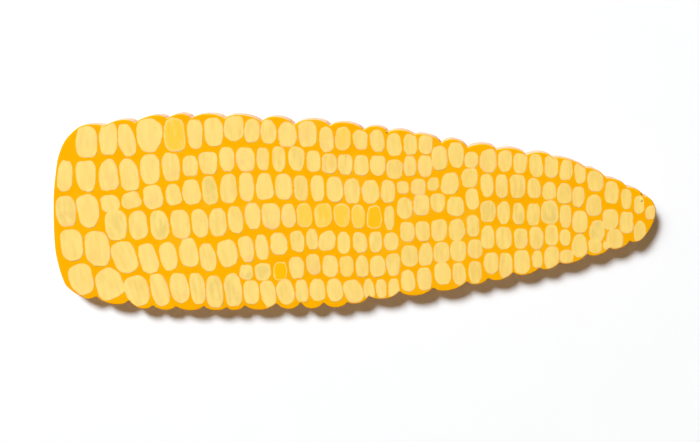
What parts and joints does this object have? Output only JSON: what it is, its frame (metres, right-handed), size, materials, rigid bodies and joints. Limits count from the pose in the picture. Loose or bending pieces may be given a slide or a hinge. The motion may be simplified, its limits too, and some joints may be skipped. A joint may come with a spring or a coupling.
{
  "type": "painted corn cob cut-out plaque",
  "caption": "Flat wooden plaque sawn to a scalloped corn cob outline and hand-painted with rows of pale yellow kernels, for a wall, shelf or table.",
  "frame": {"origin": "under the middle of the board's bounding box, on its flat back face", "axes": "+X along the cob from the stalk end to the tip, +Y across the cob, +Z out of the painted face"},
  "size_m": [0.6095, 0.2035, 0.019],
  "materials": {
    "ground_paint": "satin hand-brushed orange paint over plywood, the ground that the kernels are painted on",
    "kernel_paint": "satin hand-brushed pale yellow paint, one daub to a kernel",
    "primed_edge": "matt peach primer on the sawn edge",
    "bare_back": "bare sanded plywood"
  },
  "bodies": {
    "root": {"board": "ground_paint"}
  },
  "joints": []
}
